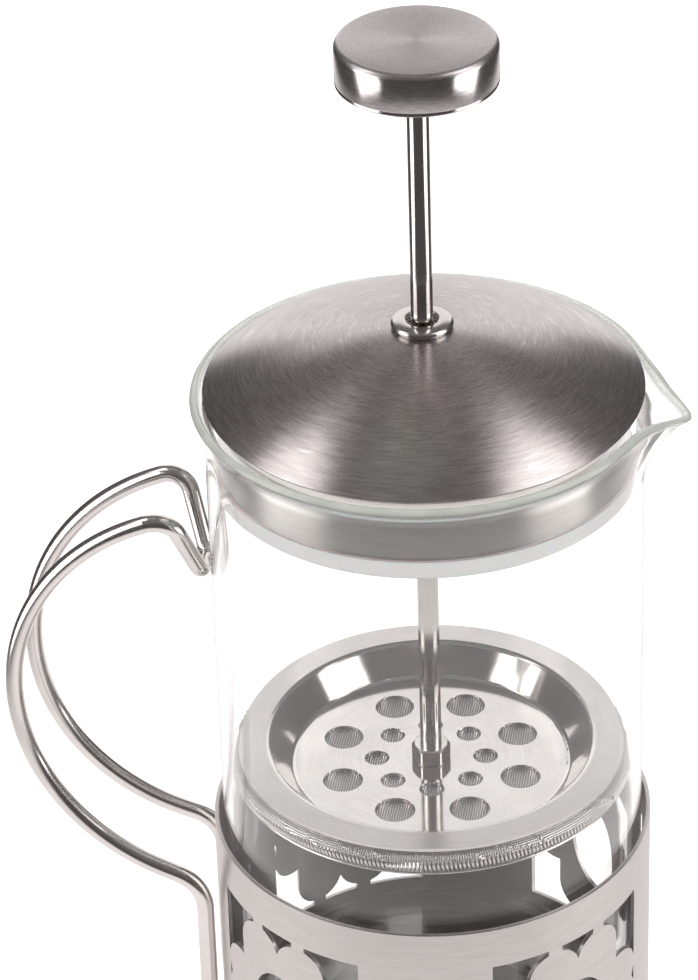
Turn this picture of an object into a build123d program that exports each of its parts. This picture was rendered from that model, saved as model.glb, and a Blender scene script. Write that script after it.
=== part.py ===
from build123d import *
import math
import os

# French press, one litre. Millimetres, +Z up. The origin is the centre of the base on
# the beaker's axis, at the height of the table. The spout points along +X and the
# handle along -X. The plunger is drawn part way up, as when the press is filled.

# ---- driving dimensions -----------------------------------------------------------

# glass beaker
BEAKER_DIAMETER = 100.0
BEAKER_HEIGHT = 183.0
BEAKER_WALL = 2.2
BEAKER_FLOOR = 3.0
BEAKER_CORNER = 7.0
RIM_FLARE = 2.9
RIM_FLARE_HEIGHT = 7.0
RIM_PINCH = 0.5
SPOUT_REACH = 16.0
SPOUT_HEIGHT = 22.0
SPOUT_HALF_ANGLE = 7.2
SPOUT_DROP = 4.6

# sheet-metal frame
SLEEVE_HEIGHT = 70.2
SLEEVE_WALL = 1.0
SLEEVE_CLEARANCE = 1.1
BASE_SHEET = 1.0
BASE_FLANGE = 6.0
SEAT_HEIGHT = 2.7
SEAT_INNER_RADIUS = 31.0
SEAT_OUTER_RADIUS = 43.0
WINDOW_HEIGHT = 49.6
WINDOW_WIDTH = 44.4
WINDOW_SILL = 10.0
SPOUT_WINDOW_ANGLE = 41.9
HANDLE_WINDOW_ANGLE = 127.2
LOBE_RADIUS = 7.0
LOBE_TAB_WIDTH = 3.7
LOBE_TAB_HEIGHT = 1.1
TOP_LOBE_SPACING = 13.4
SIDE_LOBE_SPACING = 7.6
FLOWER_HOLE_WIDTH = 18.4
FLOWER_HOLE_HEIGHT = 24.2

# wire handle
WIRE_DIAMETER = 4.2
WIRE_SPACING = 22.0
LEG_SPACING = 26.0
LEG_FOOT = 8.0
LEG_BEND_RADIUS = 10.0
GRIP_RADIUS = 52.0
GRIP_CENTRE_INSET = 4.5
GRIP_CENTRE_BELOW_RIM = 83.0
GRIP_LOW_ANGLE = -69.5
GRIP_HIGH_ANGLE = 70.0
SHOULDER_BEND_RADIUS = 5.5
HOOK_BELOW_RIM = 51.0
HOOK_BEND_RADIUS = 4.1
WELD_FLAT = 0.15

# lid
DOME_RISE = 15.5
DOME_SHEET = 0.7
DOME_EDGE_INSET = 0.15
DOME_EDGE_HEIGHT = 0.5
SKIRT_CLEARANCE = 0.4
SKIRT_DEPTH = 16.0
SKIRT_SHEET = 0.6
LINER_DEPTH = 20.5
LINER_WALL = 2.0
LINER_CAP = 1.8
BUSH_FLANGE_DIAMETER = 14.2
BUSH_FLANGE_HEIGHT = 1.7
BUSH_TUBE_DIAMETER = 8.0
LOCK_RING_DIAMETER = 15.0
LOCK_RING_SHEET = 0.8

# knob
KNOB_DIAMETER = 36.0
KNOB_HEIGHT = 9.8
KNOB_SHEET = 0.8
KNOB_EDGE_RADIUS = 1.4
KNOB_PLATE_RECESS = 0.6
INSERT_DIAMETER = 9.0

# plunger
ROD_DIAMETER = 5.0
KNOB_ABOVE_RIM = 76.7
DISC_BELOW_RIM = 95.0
DISC_EDGE_GAP = 2.2
DISC_SHEET = 0.8
DISH_OPENING_DIAMETER = 77.0
DISH_FLOOR_DIAMETER = 66.0
DISH_DEPTH = 7.0
DISH_BEND = 1.6
DISC_TURN = 8.3
DISC_HOLES = 8
LARGE_HOLE_DIAMETER = 9.4
LARGE_HOLE_CIRCLE = 45.2
SMALL_HOLE_DIAMETER = 5.9
SMALL_HOLE_CIRCLE = 25.8
MESH_THICKNESS = 0.35
MESH_SKIRT_DEPTH = 7.4
MESH_CLEARANCE = 0.3
COIL_DIAMETER = 5.8
SPRING_PLATE_HOLE_DIAMETER = 14.0
SPRING_PLATE_HOLE_CIRCLE = 40.0
NUT_ACROSS_FLATS = 8.2
TOP_NUT_HEIGHT = 4.2
BOTTOM_NUT_HEIGHT = 3.5
NUT_STANDOUT = 0.8

# fits
TOUCH = 0.05
HOLE_CLEARANCE = 0.1
BUSH_CLEARANCE = 0.08
INSERT_CLEARANCE = 0.05
REST_GAP = 0.3

# ---- sizes that follow from them --------------------------------------------------

BEAKER_RADIUS = BEAKER_DIAMETER / 2
BORE_RADIUS = BEAKER_RADIUS - BEAKER_WALL
BEAKER_Z = SEAT_HEIGHT + REST_GAP
RIM_Z = BEAKER_Z + BEAKER_HEIGHT

SLEEVE_INNER = BEAKER_RADIUS + SLEEVE_CLEARANCE
SLEEVE_OUTER = SLEEVE_INNER + SLEEVE_WALL
GRIP_CENTRE_RADIUS = BEAKER_RADIUS - GRIP_CENTRE_INSET

DOME_EDGE_RADIUS = BEAKER_RADIUS - DOME_EDGE_INSET
DOME_RADIUS = (DOME_EDGE_RADIUS**2 + DOME_RISE**2) / (2 * DOME_RISE)
DOME_CENTRE_Z = RIM_Z + DOME_EDGE_HEIGHT + DOME_RISE - DOME_RADIUS
LINER_SPHERE = DOME_RADIUS - DOME_SHEET - TOUCH
SKIRT_RADIUS = BORE_RADIUS - SKIRT_CLEARANCE
LINER_RADIUS = SKIRT_RADIUS - SKIRT_SHEET - TOUCH
BUSH_TUBE_RADIUS = BUSH_TUBE_DIAMETER / 2

ROD_RADIUS = ROD_DIAMETER / 2
KNOB_RADIUS = KNOB_DIAMETER / 2
KNOB_Z = RIM_Z + KNOB_ABOVE_RIM
KNOB_TOP = KNOB_Z + KNOB_HEIGHT
KNOB_PLATE_TOP = KNOB_Z + KNOB_PLATE_RECESS + KNOB_SHEET
KNOB_CEILING = KNOB_TOP - KNOB_SHEET

DISC_Z = RIM_Z - DISC_BELOW_RIM
DISH_FLOOR_Z = DISC_Z - DISH_DEPTH
DISC_RADIUS = BORE_RADIUS - DISC_EDGE_GAP
MESH_RADIUS = BORE_RADIUS - MESH_CLEARANCE
MESH_TOP = DISC_Z - DISC_SHEET - TOUCH
MESH_FLOOR = DISH_FLOOR_Z - DISC_SHEET - TOUCH
COIL_RADIUS = COIL_DIAMETER / 2
COIL_CIRCLE = MESH_RADIUS - MESH_THICKNESS - TOUCH - COIL_RADIUS
COIL_Z = MESH_TOP - MESH_THICKNESS - TOUCH - COIL_RADIUS
SPRING_PLATE_Z = MESH_FLOOR - MESH_THICKNESS - TOUCH
BOTTOM_NUT_Z = SPRING_PLATE_Z - DISC_SHEET - TOUCH


# ---- helpers ----------------------------------------------------------------------


def spin(*edges):
    """Turn a closed outline, drawn in the XZ plane, about the Z axis."""
    return revolve(make_face(Wire(edges)), Axis.Z, 360)


def spin_points(*points):
    """Turn a closed outline of straight lines, given as (radius, height) pairs."""
    corners = [(radius, 0, height) for radius, height in points]
    return revolve(make_face(Polyline(*corners, close=True)), Axis.Z, 360)


def tube(inner, outer, low, high):
    """A plain ring between two radii and two heights."""
    return spin_points((inner, low), (outer, low), (outer, high), (inner, high))


def at(radius, height):
    """A point of an outline in the XZ plane."""
    return Vector(radius, 0, height)


def sphere_height(sphere_radius, radius):
    """Height of the dome's concentric spheres at a distance from the axis."""
    return DOME_CENTRE_Z + math.sqrt(sphere_radius**2 - radius**2)


def sphere_arc(sphere_radius, start, end):
    """An arc of one of the dome's concentric spheres between two radii."""
    radii = (start, (start + end) / 2, end)
    points = [at(radius, sphere_height(sphere_radius, radius)) for radius in radii]
    return ThreePointArc(*points)


def drilled(solid, diameter, circle, count, turn):
    """Drill a ring of vertical holes right through a solid."""
    for index in range(count):
        angle = math.radians(turn + 360 / count * index)
        place = Pos(circle / 2 * math.cos(angle), circle / 2 * math.sin(angle), DISC_Z)
        solid -= place * Cylinder(diameter / 2, 4 * DISH_DEPTH)
    return solid


def hex_nut(low, height):
    """A hexagonal nut on the rod, with its corners rounded off top and bottom."""
    corner_radius = NUT_ACROSS_FLATS / math.sqrt(3)
    blank = extrude(Pos(0, 0, low) * RegularPolygon(corner_radius, 6), height)
    round_off = (corner_radius - NUT_ACROSS_FLATS / 2) * 0.8
    barrel = Pos(0, 0, low + height / 2) * Cylinder(corner_radius, height)
    barrel = chamfer(barrel.edges(), round_off * 0.6, round_off)
    turned = Rot(0, 0, DISC_TURN) * (blank & barrel)
    return turned - Pos(0, 0, low) * Cylinder(ROD_RADIUS + HOLE_CLEARANCE, 4 * height)


# ---- glass beaker -----------------------------------------------------------------


def spout_share(angle, half_angle):
    """How much of the spout's reach the wall has at an angle from the spout."""
    tip_rounding = 1.2
    eased = math.sqrt(angle**2 + tip_rounding**2) - tip_rounding
    return math.exp(-((eased / half_angle) ** 1.25))


def beaker_outline(radius, drop, half_angle):
    """The beaker's closed outline at a depth below the rim."""
    flare = max(0.0, 1 - drop / RIM_FLARE_HEIGHT) ** 2
    lift = max(0.0, 1 - drop / SPOUT_HEIGHT) ** 2
    steps = 20
    points = []
    for step in range(-steps + 1, steps + 1):
        angle = math.copysign(180 * (abs(step) / steps) ** 1.5, step)
        beside_spout = math.exp(-(((abs(angle) - 20) / 12) ** 2))
        reach = RIM_FLARE * flare - RIM_PINCH * flare * beside_spout
        reach += SPOUT_REACH * lift * spout_share(angle, half_angle)
        turn = math.radians(angle)
        r = radius + reach
        points.append((r * math.cos(turn), r * math.sin(turn), RIM_Z - drop))
    return Wire([Edge.make_spline([Vector(*point) for point in points], periodic=True)])


def beaker_form(radius, floor_z, corner, half_angle, top):
    """A solid of the beaker's form: a straight body, a flared rim and a spout."""
    drops = [SPOUT_HEIGHT, 17.0, 12.5, 9.0, 6.0, 3.5, 1.5, -top]
    sections = [beaker_outline(radius, drop, half_angle) for drop in drops]
    mouth = Solid.make_loft(sections)
    body_height = RIM_Z - SPOUT_HEIGHT - floor_z
    body = extrude(make_face(sections[0]), body_height, dir=(0, 0, -1))
    body = fillet(body.edges().group_by(Axis.Z)[0], corner)
    return mouth.fuse(body.solid())


def lip_cut():
    """What is taken off the rim, so that the pouring lip droops towards its tip."""
    start = BEAKER_RADIUS
    tip = BEAKER_RADIUS + SPOUT_REACH
    high = RIM_Z + BEAKER_WALL
    end = at(tip + RIM_FLARE + BEAKER_WALL, RIM_Z - SPOUT_DROP)
    middle = at(start + (tip - start) * 0.6, RIM_Z - SPOUT_DROP * 0.75)
    lip = Spline(at(start, RIM_Z), middle, end, tangents=[(1, 0, 0), (1, 0, 0)])
    side = Line(end, at(end.X, high))
    roof = Line(at(end.X, high), at(start, high))
    close = Line(at(start, high), at(start, RIM_Z))
    face = make_face(Wire([lip, side, roof, close]))
    return extrude(face, BEAKER_RADIUS, dir=(0, 1, 0), both=True)


def glass_beaker():
    outside = beaker_form(BEAKER_RADIUS, BEAKER_Z, BEAKER_CORNER, SPOUT_HALF_ANGLE, 0.0)
    inner_corner = BEAKER_CORNER - BEAKER_WALL
    narrow = SPOUT_HALF_ANGLE * 0.9
    floor_z = BEAKER_Z + BEAKER_FLOOR
    inside = beaker_form(BORE_RADIUS, floor_z, inner_corner, narrow, 0.4)
    return outside - inside - lip_cut()


# ---- frame: sleeve, base and wire handle ------------------------------------------


def flower():
    """One eight-lobed flower with an oval eye, drawn flat about its own centre."""
    half_width = WINDOW_WIDTH / 2
    half_height = WINDOW_HEIGHT / 2
    top_x = TOP_LOBE_SPACING / 2
    top_y = half_height - LOBE_TAB_HEIGHT - LOBE_RADIUS
    side_x = half_width - LOBE_RADIUS + TOUCH
    side_y = SIDE_LOBE_SPACING / 2
    shape = Rectangle(2 * top_x + 2 * LOBE_RADIUS, 2 * top_y)
    for side in (-1, 1):
        for end in (-1, 1):
            shape += Pos(side * top_x, end * top_y) * Circle(LOBE_RADIUS)
            shape += Pos(side * side_x, end * side_y) * Circle(LOBE_RADIUS)
            tab_length = LOBE_RADIUS + LOBE_TAB_HEIGHT + 1
            upright = Rectangle(LOBE_TAB_WIDTH, tab_length)
            shape += Pos(side * top_x, end * (top_y + tab_length / 2)) * upright
            level = Rectangle(tab_length, LOBE_TAB_WIDTH)
            shape += Pos(side * (side_x + tab_length / 2), end * side_y) * level
    return shape - Ellipse(FLOWER_HOLE_WIDTH / 2, FLOWER_HOLE_HEIGHT / 2)


def window_cut(angle):
    """What is cut out of the sleeve round one flower, at an angle from the spout."""
    opening = Rectangle(WINDOW_WIDTH, WINDOW_HEIGHT) - flower()
    middle = WINDOW_SILL + WINDOW_HEIGHT / 2
    outward = Plane(origin=(0, 0, middle), x_dir=(0, 1, 0), z_dir=(1, 0, 0))
    turned = Rot(0, 0, angle) * (outward * opening)
    return extrude(turned, SLEEVE_OUTER + SLEEVE_WALL)


def frame_sleeve():
    sleeve = tube(SLEEVE_INNER, SLEEVE_OUTER, 0, SLEEVE_HEIGHT)
    for angle in (SPOUT_WINDOW_ANGLE, HANDLE_WINDOW_ANGLE):
        for side in (-1, 1):
            sleeve -= window_cut(side * angle)
    return sleeve


def frame_base():
    """The pressed bottom plate, with a raised ring that the beaker sits on."""
    rim = SLEEVE_INNER - TOUCH
    slope = SEAT_HEIGHT - BASE_SHEET
    return spin_points(
        (0, 0),
        (SEAT_INNER_RADIUS - slope, 0),
        (SEAT_INNER_RADIUS, slope),
        (SEAT_OUTER_RADIUS, slope),
        (SEAT_OUTER_RADIUS + slope, 0),
        (rim, 0),
        (rim, BASE_FLANGE),
        (rim - BASE_SHEET, BASE_FLANGE),
        (rim - BASE_SHEET, BASE_SHEET),
        (SEAT_OUTER_RADIUS + slope, BASE_SHEET),
        (SEAT_OUTER_RADIUS, SEAT_HEIGHT),
        (SEAT_INNER_RADIUS, SEAT_HEIGHT),
        (SEAT_INNER_RADIUS - slope, BASE_SHEET),
        (0, BASE_SHEET),
    )


def handle_route():
    """Half of the handle's line, from the foot of one leg up to the middle of the hook."""
    wire_radius = WIRE_DIAMETER / 2
    leg_r = SLEEVE_OUTER + wire_radius - WELD_FLAT
    centre_z = RIM_Z - GRIP_CENTRE_BELOW_RIM
    low = math.radians(GRIP_LOW_ANGLE)
    high = math.radians(GRIP_HIGH_ANGLE)
    half_turn = (high - low) / 4
    corner_reach = GRIP_RADIUS / math.cos(half_turn)
    grip_y = WIRE_SPACING / 2
    leg_y = LEG_SPACING / 2

    def polar(reach, angle, y):
        r = GRIP_CENTRE_RADIUS + reach * math.cos(angle)
        return Vector(-r, y, centre_z + reach * math.sin(angle))

    lower_corner = polar(corner_reach, low + half_turn, grip_y)
    upper_corner = polar(corner_reach, high - half_turn, grip_y)
    lower_end = polar(GRIP_RADIUS, low, grip_y)
    upper_end = polar(GRIP_RADIUS, high, grip_y)
    inward = (lower_end - lower_corner).normalized()
    to_leg = (-leg_r - lower_end.X) / inward.X
    leg_top = lower_end + inward * to_leg
    leg_top = Vector(-leg_r, leg_y, leg_top.Z)
    hook_r = BEAKER_RADIUS + REST_GAP + wire_radius
    rise = (upper_end - upper_corner).normalized()
    shoulder = upper_end + rise * SHOULDER_BEND_RADIUS
    hook = Vector(-hook_r, HOOK_BEND_RADIUS, RIM_Z - HOOK_BELOW_RIM)
    foot = Vector(-leg_r, leg_y, LEG_FOOT)
    points = [foot, leg_top, lower_corner, upper_corner, shoulder, hook]
    grip_bend = GRIP_RADIUS - 0.2
    bends = [LEG_BEND_RADIUS, grip_bend, grip_bend, SHOULDER_BEND_RADIUS, HOOK_BEND_RADIUS - TOUCH]
    return points, bends


def handle_wire():
    """One round wire: up one leg, round the grip, through the hook and back down."""
    points, bends = handle_route()
    mirrored = [Vector(point.X, -point.Y, point.Z) for point in reversed(points)]
    route = FilletPolyline(*points, *mirrored, radius=bends + bends[::-1])
    start = Plane(origin=points[0], z_dir=(points[1] - points[0]).normalized())
    wire = sweep(start * Circle(WIRE_DIAMETER / 2), path=route)
    sleeve_space = Pos(0, 0, SLEEVE_HEIGHT / 2) * Cylinder(SLEEVE_OUTER, 2 * SLEEVE_HEIGHT)
    return wire - sleeve_space


# ---- lid --------------------------------------------------------------------------


def shell_slice(outer_sphere, thickness, hole, edge):
    """The outline of a spherical shell between a centre hole and an outer edge."""
    inner_sphere = outer_sphere - thickness
    outer = sphere_arc(outer_sphere, hole, edge)
    inner = sphere_arc(inner_sphere, edge * inner_sphere / outer_sphere, hole)
    return [outer, Line(outer @ 1, inner @ 0), inner, Line(inner @ 1, outer @ 0)]


def lid_dome():
    hole = BUSH_TUBE_RADIUS + TOUCH
    return spin(*shell_slice(DOME_RADIUS, DOME_SHEET, hole, DOME_EDGE_RADIUS))


def lid_skirt():
    """The plain steel band under the dome, inside the beaker's mouth."""
    inner = SKIRT_RADIUS - SKIRT_SHEET
    top = sphere_height(DOME_RADIUS - DOME_SHEET, SKIRT_RADIUS) - TOUCH
    return tube(inner, SKIRT_RADIUS, RIM_Z - SKIRT_DEPTH, top)


def lid_liner():
    """The white moulding inside the lid: a cap under the dome with a deep rim."""
    hole = BUSH_TUBE_RADIUS + TOUCH
    inner_sphere = LINER_SPHERE - LINER_CAP
    wall_inner = LINER_RADIUS - LINER_WALL
    low = RIM_Z - LINER_DEPTH
    ledge = RIM_Z - SKIRT_DEPTH - TOUCH
    top = sphere_arc(LINER_SPHERE, hole, LINER_RADIUS)
    under = sphere_arc(inner_sphere, wall_inner, hole)
    foot = 0.6
    rim = Polyline(
        top @ 1,
        at(LINER_RADIUS, ledge),
        at(SKIRT_RADIUS, ledge),
        at(SKIRT_RADIUS, low + foot),
        at(SKIRT_RADIUS - foot, low),
        at(wall_inner + foot, low),
        at(wall_inner, low + foot),
        under @ 0,
    )
    return spin(top, *rim.edges(), under, Line(under @ 1, top @ 0))


def lid_bush():
    """The flanged eyelet that guides the rod and clamps dome and liner together."""
    bore = ROD_RADIUS + BUSH_CLEARANCE
    flange = BUSH_FLANGE_DIAMETER / 2
    apex = sphere_height(DOME_RADIUS, BUSH_TUBE_RADIUS)
    seat = apex + TOUCH
    seat_edge = sphere_height(DOME_RADIUS, flange) + TOUCH
    top = apex + BUSH_FLANGE_HEIGHT
    ring_low = sphere_height(LINER_SPHERE - LINER_CAP, LOCK_RING_DIAMETER / 2) - LOCK_RING_SHEET
    lip_top = ring_low - 2 * TOUCH
    lip_low = lip_top - 0.5
    return spin_points(
        (bore, lip_low),
        (BUSH_TUBE_RADIUS + 0.9, lip_low),
        (BUSH_TUBE_RADIUS + 0.9, lip_top),
        (BUSH_TUBE_RADIUS, lip_top),
        (BUSH_TUBE_RADIUS, seat),
        (flange, seat_edge),
        (flange, top - 0.9),
        (flange - 0.3, top - 0.35),
        (flange - 1.0, top),
        (bore + 1.1, top),
        (bore + 0.3, top - 0.4),
        (bore, top - 1.0),
    )


def lid_lock_ring():
    """The push-on ring that holds the bush from inside the lid."""
    high = sphere_height(LINER_SPHERE - LINER_CAP, LOCK_RING_DIAMETER / 2) - TOUCH
    hole = BUSH_TUBE_RADIUS + TOUCH
    return tube(hole, LOCK_RING_DIAMETER / 2, high - LOCK_RING_SHEET, high)


# ---- knob -------------------------------------------------------------------------


def knob_shell():
    """A deep-drawn steel cap with a rounded upper edge."""
    outer = Pos(0, 0, KNOB_Z + KNOB_HEIGHT / 2) * Cylinder(KNOB_RADIUS, KNOB_HEIGHT)
    outer = fillet(outer.edges().group_by(Axis.Z)[-1], KNOB_EDGE_RADIUS)
    inner_radius = KNOB_RADIUS - KNOB_SHEET
    inner_height = KNOB_HEIGHT - KNOB_SHEET
    inner = Pos(0, 0, KNOB_Z + inner_height / 2) * Cylinder(inner_radius, inner_height)
    inner = fillet(inner.edges().group_by(Axis.Z)[-1], KNOB_EDGE_RADIUS - KNOB_SHEET)
    return outer - inner


def knob_plate():
    """The recessed disc that closes the knob from below."""
    radius = KNOB_RADIUS - KNOB_SHEET - TOUCH
    return tube(ROD_RADIUS + 2 * HOLE_CLEARANCE, radius, KNOB_PLATE_TOP - KNOB_SHEET, KNOB_PLATE_TOP)


def knob_core():
    """The plastic filling that centres the threaded insert."""
    radius = KNOB_RADIUS - KNOB_EDGE_RADIUS - TOUCH
    hole = INSERT_DIAMETER / 2 + TOUCH
    return tube(hole, radius, KNOB_PLATE_TOP + TOUCH, KNOB_CEILING - TOUCH)


def knob_insert():
    """The brass insert that the top of the rod screws into, with a grip groove."""
    radius = INSERT_DIAMETER / 2
    bore = ROD_RADIUS + INSERT_CLEARANCE
    low = KNOB_PLATE_TOP + TOUCH
    high = KNOB_CEILING - 2 * TOUCH
    middle = (low + high) / 2
    return spin_points(
        (bore, low),
        (radius, low),
        (radius, middle - 0.8),
        (radius - 0.7, middle - 0.5),
        (radius - 0.7, middle + 0.5),
        (radius, middle + 0.8),
        (radius, high),
        (bore, high),
    )


# ---- plunger ----------------------------------------------------------------------


def plunger_rod():
    low = BOTTOM_NUT_Z - BOTTOM_NUT_HEIGHT - NUT_STANDOUT
    high = KNOB_CEILING - 3 * REST_GAP
    rod = Pos(0, 0, (low + high) / 2) * Cylinder(ROD_RADIUS, high - low)
    return chamfer(rod.edges().filter_by(GeomType.CIRCLE), 0.4)


def pressed_section(top, sheet, outer_corners):
    """The half section of a dished disc: flat centre, sloping side, bends rounded.

    The outer corners run from the dish's upper edge outwards and back underneath."""
    hole = ROD_RADIUS + HOLE_CLEARANCE
    floor = DISH_FLOOR_DIAMETER / 2
    opening = DISH_OPENING_DIAMETER / 2
    corners = [(hole, top - DISH_DEPTH), (floor, top - DISH_DEPTH), (opening, top)]
    corners += outer_corners
    corners += [(opening, top - sheet), (floor, top - DISH_DEPTH - sheet)]
    corners += [(hole, top - DISH_DEPTH - sheet)]
    outline = make_face(Polyline(*[at(*corner) for corner in corners], close=True))
    bends = [v for v in outline.vertices() if round(v.X, 6) in (floor, opening)]
    return fillet(bends, DISH_BEND)


def filter_disc():
    """The pressed and drilled disc that carries the filter."""
    edge = DISC_RADIUS
    section = pressed_section(DISC_Z, DISC_SHEET, [(edge, DISC_Z), (edge, DISC_Z - DISC_SHEET)])
    disc = revolve(section, Axis.Z, 360)
    large_turn = DISC_TURN + 180 / DISC_HOLES
    disc = drilled(disc, LARGE_HOLE_DIAMETER, LARGE_HOLE_CIRCLE, DISC_HOLES, large_turn)
    return drilled(disc, SMALL_HOLE_DIAMETER, SMALL_HOLE_CIRCLE, DISC_HOLES, DISC_TURN)


def filter_mesh():
    """The woven screen: under the disc, out to the glass and down over the coil."""
    shoulder = 1.6
    slant = 0.3 * shoulder
    inner = MESH_RADIUS - MESH_THICKNESS
    under = MESH_TOP - MESH_THICKNESS
    skirt_low = DISC_Z - MESH_SKIRT_DEPTH
    over_the_coil = [
        (MESH_RADIUS - shoulder, MESH_TOP),
        (MESH_RADIUS - slant, MESH_TOP - slant),
        (MESH_RADIUS, MESH_TOP - shoulder),
        (MESH_RADIUS, skirt_low),
        (inner, skirt_low),
        (inner, under - shoulder),
        (inner - slant, under - slant),
        (inner - shoulder, under),
    ]
    return revolve(pressed_section(MESH_TOP, MESH_THICKNESS, over_the_coil), Axis.Z, 360)


def coil_spring():
    """The envelope of the close-wound ring spring that presses the mesh outwards."""
    return Pos(0, 0, COIL_Z) * Torus(COIL_CIRCLE, COIL_RADIUS)


def spring_plate():
    """The lower plate, whose turned-out rim carries the ring spring."""
    hole = ROD_RADIUS + HOLE_CLEARANCE
    foot = DISH_FLOOR_DIAMETER / 2
    climb = 0.5
    knee = foot + (DISH_OPENING_DIAMETER / 2 - foot) * climb
    top = SPRING_PLATE_Z
    flange = top + DISH_DEPTH * climb
    rim = COIL_CIRCLE - COIL_RADIUS - TOUCH
    plate = spin_points(
        (hole, top),
        (foot, top),
        (knee, flange),
        (rim, flange),
        (rim, flange - DISC_SHEET),
        (knee, flange - DISC_SHEET),
        (foot, top - DISC_SHEET),
        (hole, top - DISC_SHEET),
    )
    return drilled(plate, SPRING_PLATE_HOLE_DIAMETER, SPRING_PLATE_HOLE_CIRCLE, 6, DISC_TURN)


def top_nut():
    return hex_nut(DISH_FLOOR_Z + TOUCH, TOP_NUT_HEIGHT)


def bottom_nut():
    return hex_nut(BOTTOM_NUT_Z - BOTTOM_NUT_HEIGHT, BOTTOM_NUT_HEIGHT)


# ---- one file for each piece ------------------------------------------------------

PIECES = [
    glass_beaker,
    frame_sleeve,
    frame_base,
    handle_wire,
    lid_dome,
    lid_skirt,
    lid_liner,
    lid_bush,
    lid_lock_ring,
    knob_shell,
    knob_plate,
    knob_core,
    knob_insert,
    plunger_rod,
    top_nut,
    filter_disc,
    filter_mesh,
    coil_spring,
    spring_plate,
    bottom_nut,
]

os.makedirs("parts", exist_ok=True)
for piece in PIECES:
    export_step(piece(), f"parts/{piece.__name__}.step")
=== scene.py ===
import math

import bmesh
import bpy
from mathutils import Matrix, Vector


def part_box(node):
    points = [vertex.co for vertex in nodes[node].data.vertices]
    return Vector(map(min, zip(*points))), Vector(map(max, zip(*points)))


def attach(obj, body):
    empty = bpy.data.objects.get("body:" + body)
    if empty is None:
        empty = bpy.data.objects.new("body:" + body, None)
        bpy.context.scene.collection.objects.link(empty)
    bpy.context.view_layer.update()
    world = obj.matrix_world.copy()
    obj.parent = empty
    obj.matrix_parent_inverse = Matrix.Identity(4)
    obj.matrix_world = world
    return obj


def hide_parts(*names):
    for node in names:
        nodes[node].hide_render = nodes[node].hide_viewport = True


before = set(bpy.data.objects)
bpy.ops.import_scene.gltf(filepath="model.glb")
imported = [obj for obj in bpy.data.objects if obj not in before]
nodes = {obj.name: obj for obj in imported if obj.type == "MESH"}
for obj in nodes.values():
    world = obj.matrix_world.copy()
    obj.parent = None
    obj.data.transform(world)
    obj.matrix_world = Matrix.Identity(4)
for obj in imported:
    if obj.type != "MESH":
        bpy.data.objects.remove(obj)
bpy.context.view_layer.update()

# ---- camera, backdrop and light -----------------------------------------------------
# A long lens looks down on the press from in front, a little to the spout's side of
# square on. A white sweep stands behind the press, and a lit card and a soft box on each
# side. Bare metal sees the rest of the white room dimmed, so that it keeps its contrast.

press_foot_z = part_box("frame_base")[0].z
rim_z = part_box("glass_beaker")[1].z
studio_turn = math.radians(8.3)
camera_distance = 0.82606
camera_rise = 0.49283
camera_pitch = math.radians(32.214)
camera_yaw = math.radians(1.0275)
camera_roll = math.radians(1.212)
lens_mm = 156.99


def studio(x, y, z):
    """A direction or place in the studio, whose front faces the camera."""
    return Matrix.Rotation(studio_turn, 3, "Z") @ Vector((x, y, z))


def aim_camera():
    camera = bpy.data.objects.new("camera", bpy.data.cameras.new("camera"))
    bpy.context.scene.collection.objects.link(camera)
    camera.data.lens = lens_mm
    camera.data.sensor_width = 36.0
    camera.data.clip_start = 0.05
    camera.data.clip_end = 20.0
    right = Vector((1, 0, 0))
    forward = Vector((0, math.cos(camera_pitch), -math.sin(camera_pitch)))
    up = right.cross(forward)
    level_right, level_up = right.copy(), up.copy()
    up = level_up * math.cos(camera_roll) + level_right * math.sin(camera_roll)
    right = level_right * math.cos(camera_roll) - level_up * math.sin(camera_roll)
    level_right, level_forward = right.copy(), forward.copy()
    forward = level_forward * math.cos(camera_yaw) - level_right * math.sin(camera_yaw)
    right = level_right * math.cos(camera_yaw) + level_forward * math.sin(camera_yaw)
    facing = Matrix((right, up, -forward)).transposed()
    turned = Matrix.Rotation(studio_turn, 3, "Z") @ facing
    camera.matrix_world = turned.to_4x4()
    camera.location = studio(0, -camera_distance, rim_z + camera_rise)
    bpy.context.scene.camera = camera


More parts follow.
